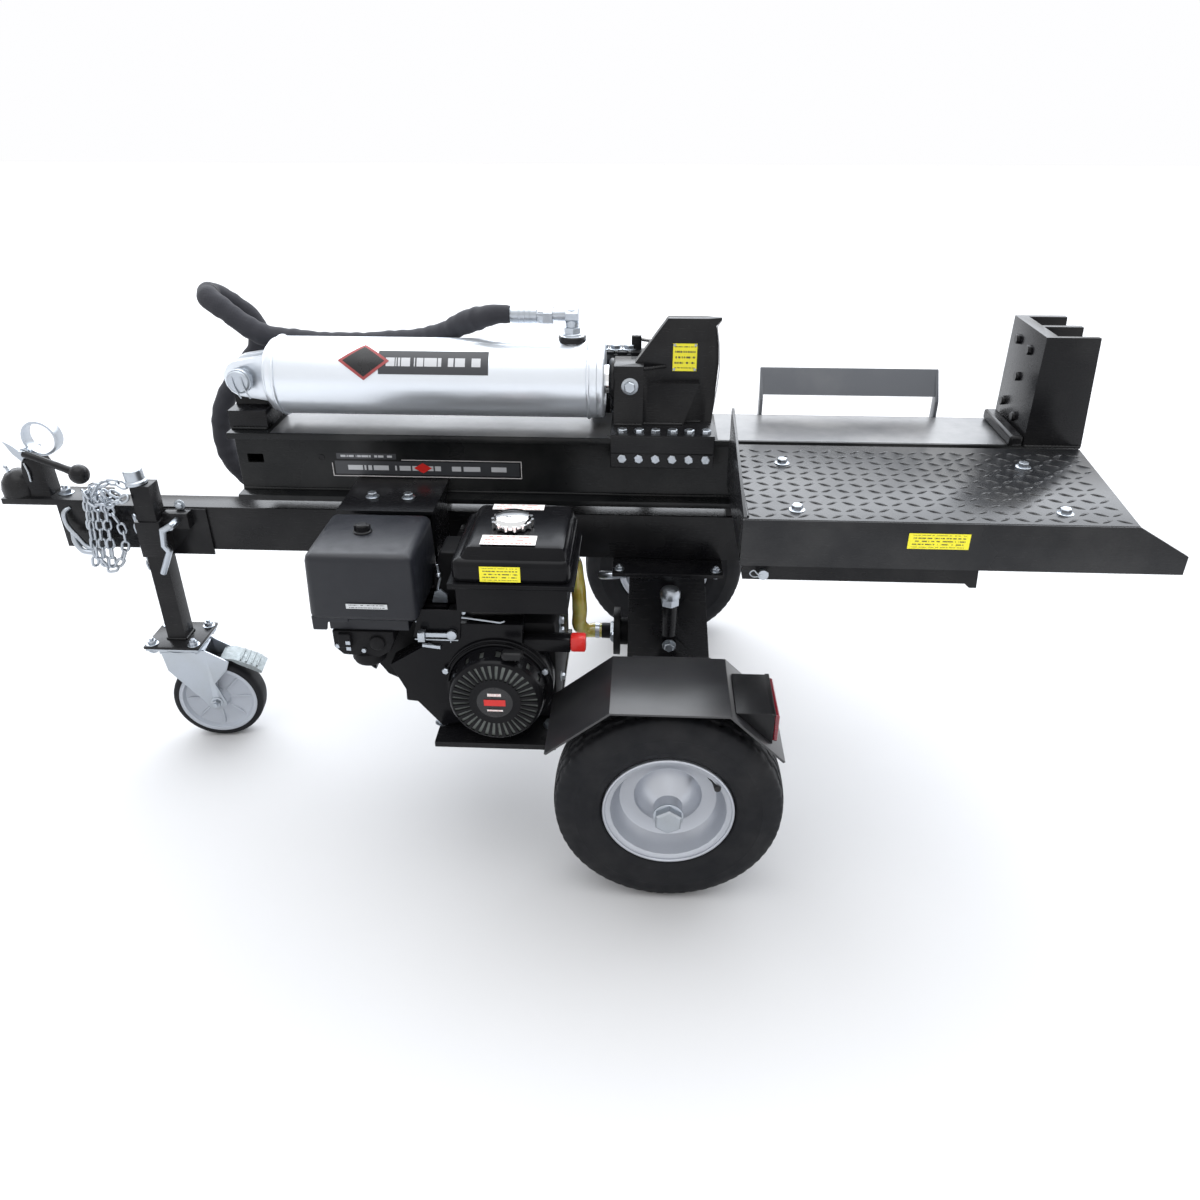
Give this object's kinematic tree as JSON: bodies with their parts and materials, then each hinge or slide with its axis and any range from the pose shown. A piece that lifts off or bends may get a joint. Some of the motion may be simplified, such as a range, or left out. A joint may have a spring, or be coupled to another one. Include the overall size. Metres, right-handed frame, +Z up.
{
  "type": "log splitter",
  "caption": "Towable horizontal log splitter: hydraulic ram and wedge on a steel beam with a side table, engine, oil tank, two road wheels and a jockey castor.",
  "frame": {"origin": "centre of the bounding box's bottom, on the ground", "axes": "+X from the tow coupler towards the foot plate, +Y away from the engine and table side, +Z up"},
  "size_m": [2.21, 1.104, 0.9821],
  "materials": {
    "black_gloss_paint": "gloss",
    "silver_paint": "satin",
    "machined_steel": "satin",
    "zinc_plate": "satin",
    "tyre_rubber": "matte",
    "black_rubber": "matte",
    "hose_sleeve": "matte",
    "grey_black_plastic": "satin",
    "black_alloy": "satin",
    "red_plastic": "gloss",
    "amber_hose": "gloss"
  },
  "bodies": {
    "chassis": {"drawbar": "black_gloss_paint", "axle": "black_gloss_paint", "oil_tank": "black_gloss_paint", "suction_flange": "machined_steel", "suction_hose": "amber_hose", "fender_near": "black_gloss_paint", "fender_far": "black_gloss_paint", "tail_lamp_near": "grey_black_plastic", "tail_lamp_far": "grey_black_plastic", "engine_cradle": "black_gloss_paint", "crankcase": "black_alloy", "cylinder_head": "black_alloy", "carburettor": "black_alloy", "air_cleaner_base": "grey_black_plastic", "air_cleaner_cover": "grey_black_plastic", "muffler": "black_alloy", "fan_shroud": "black_alloy", "recoil_cover": "black_alloy", "fuel_tank": "black_gloss_paint", "bell_housing": "black_alloy", "gear_pump": "black_alloy", "coupler_body": "black_gloss_paint", "jockey_clamp": "black_gloss_paint", "safety_chain": "zinc_plate"},
    "beam_group": {"beam": "black_gloss_paint", "foot_plate": "black_gloss_paint", "cylinder_barrel": "silver_paint", "cylinder_gland": "silver_paint", "clevis_bracket": "black_gloss_paint", "clevis_pin": "zinc_plate", "rod_port_elbow": "machined_steel", "rod_hose": "hose_sleeve", "control_valve": "black_gloss_paint", "base_hose": "black_rubber", "return_hose": "black_rubber", "pressure_hose": "black_rubber", "log_table": "black_gloss_paint", "table_rail": "black_gloss_paint", "log_guard": "black_gloss_paint", "heat_guard": "black_gloss_paint"},
    "ram": {"piston_rod": "machined_steel", "wedge": "black_gloss_paint"},
    "wheel_near": {"tyre_near": "tyre_rubber", "rim_near": "silver_paint"},
    "wheel_far": {"tyre_far": "tyre_rubber", "rim_far": "silver_paint"},
    "jockey": {"jockey_leg": "black_gloss_paint", "castor_plate": "zinc_plate"},
    "fork": {"castor_fork": "zinc_plate"},
    "castor": {"castor_wheel": "black_rubber"},
    "brake": {"castor_brake": "zinc_plate"},
    "clamp_lever": {"clamp_handle": "zinc_plate"},
    "latch": {"coupler_latch": "zinc_plate"},
    "valve_handle": {"valve_lever": "machined_steel"},
    "starter_grip": {"recoil_grip": "grey_black_plastic"},
    "tank_cap": {"fuel_cap": "machined_steel"},
    "oil_cap": {"breather_cap": "machined_steel"},
    "stop_switch": {"engine_switch": "red_plastic"},
    "throttle": {"throttle_lever": "machined_steel"},
    "rail_pin": {"table_pin": "zinc_plate"}
  },
  "joints": [
    {"name": "beam_tilt", "type": "hinge", "parent": "chassis", "child": "beam_group", "pos_m": [0.54, 0, 0.57], "axis": [0, 1, 0], "range_deg": [0, 86]},
    {"name": "ram_slide", "type": "slide", "parent": "beam_group", "child": "ram", "axis": [1, 0, 0], "range_m": [0, 0.54]},
    {"name": "wheel_near_spin", "type": "hinge", "parent": "chassis", "child": "wheel_near", "pos_m": [0.305, -0.468, 0.207], "axis": [0, 1, 0], "continuous": true},
    {"name": "wheel_far_spin", "type": "hinge", "parent": "chassis", "child": "wheel_far", "pos_m": [0.305, 0.468, 0.207], "axis": [0, 1, 0], "continuous": true},
    {"name": "jockey_slide", "type": "slide", "parent": "chassis", "child": "jockey", "axis": [0, 0, 1], "range_m": [0, 0.13]},
    {"name": "castor_swivel", "type": "hinge", "parent": "jockey", "child": "fork", "pos_m": [-0.77, -0.0545, 0.23], "axis": [0, 0, 1], "continuous": true},
    {"name": "castor_roll", "type": "hinge", "parent": "fork", "child": "castor", "pos_m": [-0.71541, -0.0478, 0.1], "axis": [-0.1219, 0.9925, 0], "continuous": true},
    {"name": "brake_pedal", "type": "hinge", "parent": "fork", "child": "brake", "pos_m": [-0.67869, -0.04329, 0.212], "axis": [-0.1219, 0.9925, 0], "range_deg": [-6, 8]},
    {"name": "clamp_turn", "type": "hinge", "parent": "chassis", "child": "clamp_lever", "pos_m": [-0.715, -0.0585, 0.545], "axis": [0, 1, 0], "range_deg": [-60, 60]},
    {"name": "latch_lift", "type": "hinge", "parent": "chassis", "child": "latch", "pos_m": [-1.02, 0, 0.674], "axis": [0, -1, 0], "range_deg": [0, 40]},
    {"name": "valve_tilt", "type": "hinge", "parent": "beam_group", "child": "valve_handle", "pos_m": [0.227, 0.145, 0.88], "axis": [0, 1, 0], "range_deg": [-18, 18], "stiffness_Nm_per_rad": 25},
    {"name": "recoil_pull", "type": "slide", "parent": "chassis", "child": "starter_grip", "axis": [0, -0.9162, 0.4008], "range_m": [0, 0.35], "stiffness_N_per_m": 30, "springref_m": -0.2},
    {"name": "fuel_cap_turn", "type": "hinge", "parent": "chassis", "child": "tank_cap", "pos_m": [0.024, -0.326, 0.6763], "axis": [0, 0, 1], "range_deg": [0, 90]},
    {"name": "oil_cap_turn", "type": "hinge", "parent": "chassis", "child": "oil_cap", "pos_m": [0.307, -0.116, 0.424], "axis": [0, 0, 1], "range_deg": [0, 90]},
    {"name": "switch_turn", "type": "hinge", "parent": "chassis", "child": "stop_switch", "pos_m": [0.139, -0.392, 0.481], "axis": [1, 0, 0], "range_deg": [0, 60]},
    {"name": "throttle_tilt", "type": "hinge", "parent": "chassis", "child": "throttle", "pos_m": [-0.08, -0.4145, 0.502], "axis": [0, 1, 0], "range_deg": [-20, 15]},
    {"name": "rail_pin_pull", "type": "slide", "parent": "beam_group", "child": "rail_pin", "axis": [0, -1, 0], "range_m": [0, 0.045]}
  ]
}
